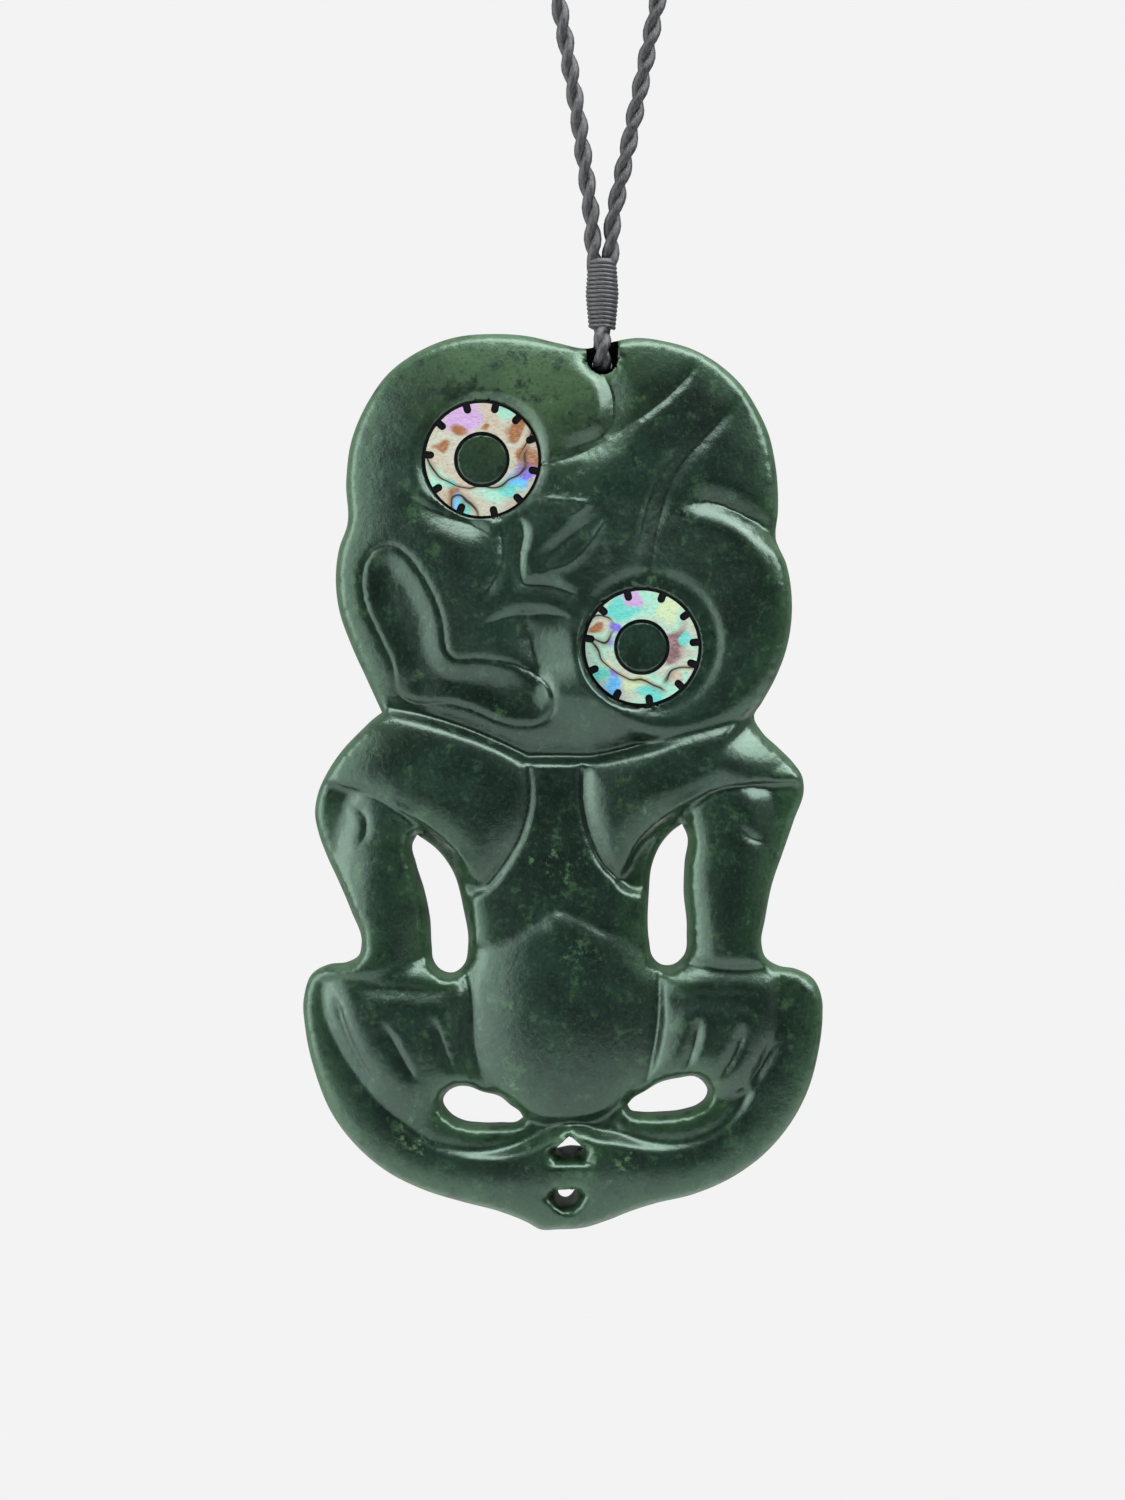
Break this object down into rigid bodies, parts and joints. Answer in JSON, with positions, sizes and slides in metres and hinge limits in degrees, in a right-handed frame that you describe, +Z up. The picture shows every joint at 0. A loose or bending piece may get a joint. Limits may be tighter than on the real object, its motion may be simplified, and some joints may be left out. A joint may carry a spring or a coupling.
{
  "type": "greenstone hei tiki pendant on a neck cord",
  "caption": "Carved greenstone tiki figure with shell ring eyes, hung by a whipped bight from a closed twisted neck cord.",
  "frame": {"origin": "neck_rest: the underside of the neck cord's join, at the top of the loop, where the loop hangs on the nape of a neck", "axes": "+Z up, -Y out of the carved face, +X to the right as the face is seen from the front"},
  "size_m": [0.0979, 0.009, 0.4206],
  "materials": {
    "greenstone": "satin polished nephrite with lighter cloudy patches",
    "paua_shell": "polished iridescent shell",
    "black_resin": "glossy cast resin",
    "waxed_cord": "waxed two-ply twisted cord",
    "whipping_thread": "waxed thread, closely wound",
    "join_horn": "satin black"
  },
  "bodies": {
    "necklace": {"cord_join": "join_horn", "neck_cord_left": "waxed_cord", "neck_cord_right": "waxed_cord", "cord_whipping": "whipping_thread", "cord_bight": "waxed_cord"},
    "pendant": {"tiki": "greenstone", "upper_eye_ring": "paua_shell", "lower_eye_ring": "paua_shell", "upper_eye_bed": "black_resin", "lower_eye_bed": "black_resin"}
  },
  "joints": [
    {"name": "pendant_swing", "type": "hinge", "parent": "necklace", "child": "pendant", "pos_m": [0, 0, -0.31906], "axis": [0, 1, 0], "range_deg": [-12, 12]}
  ]
}
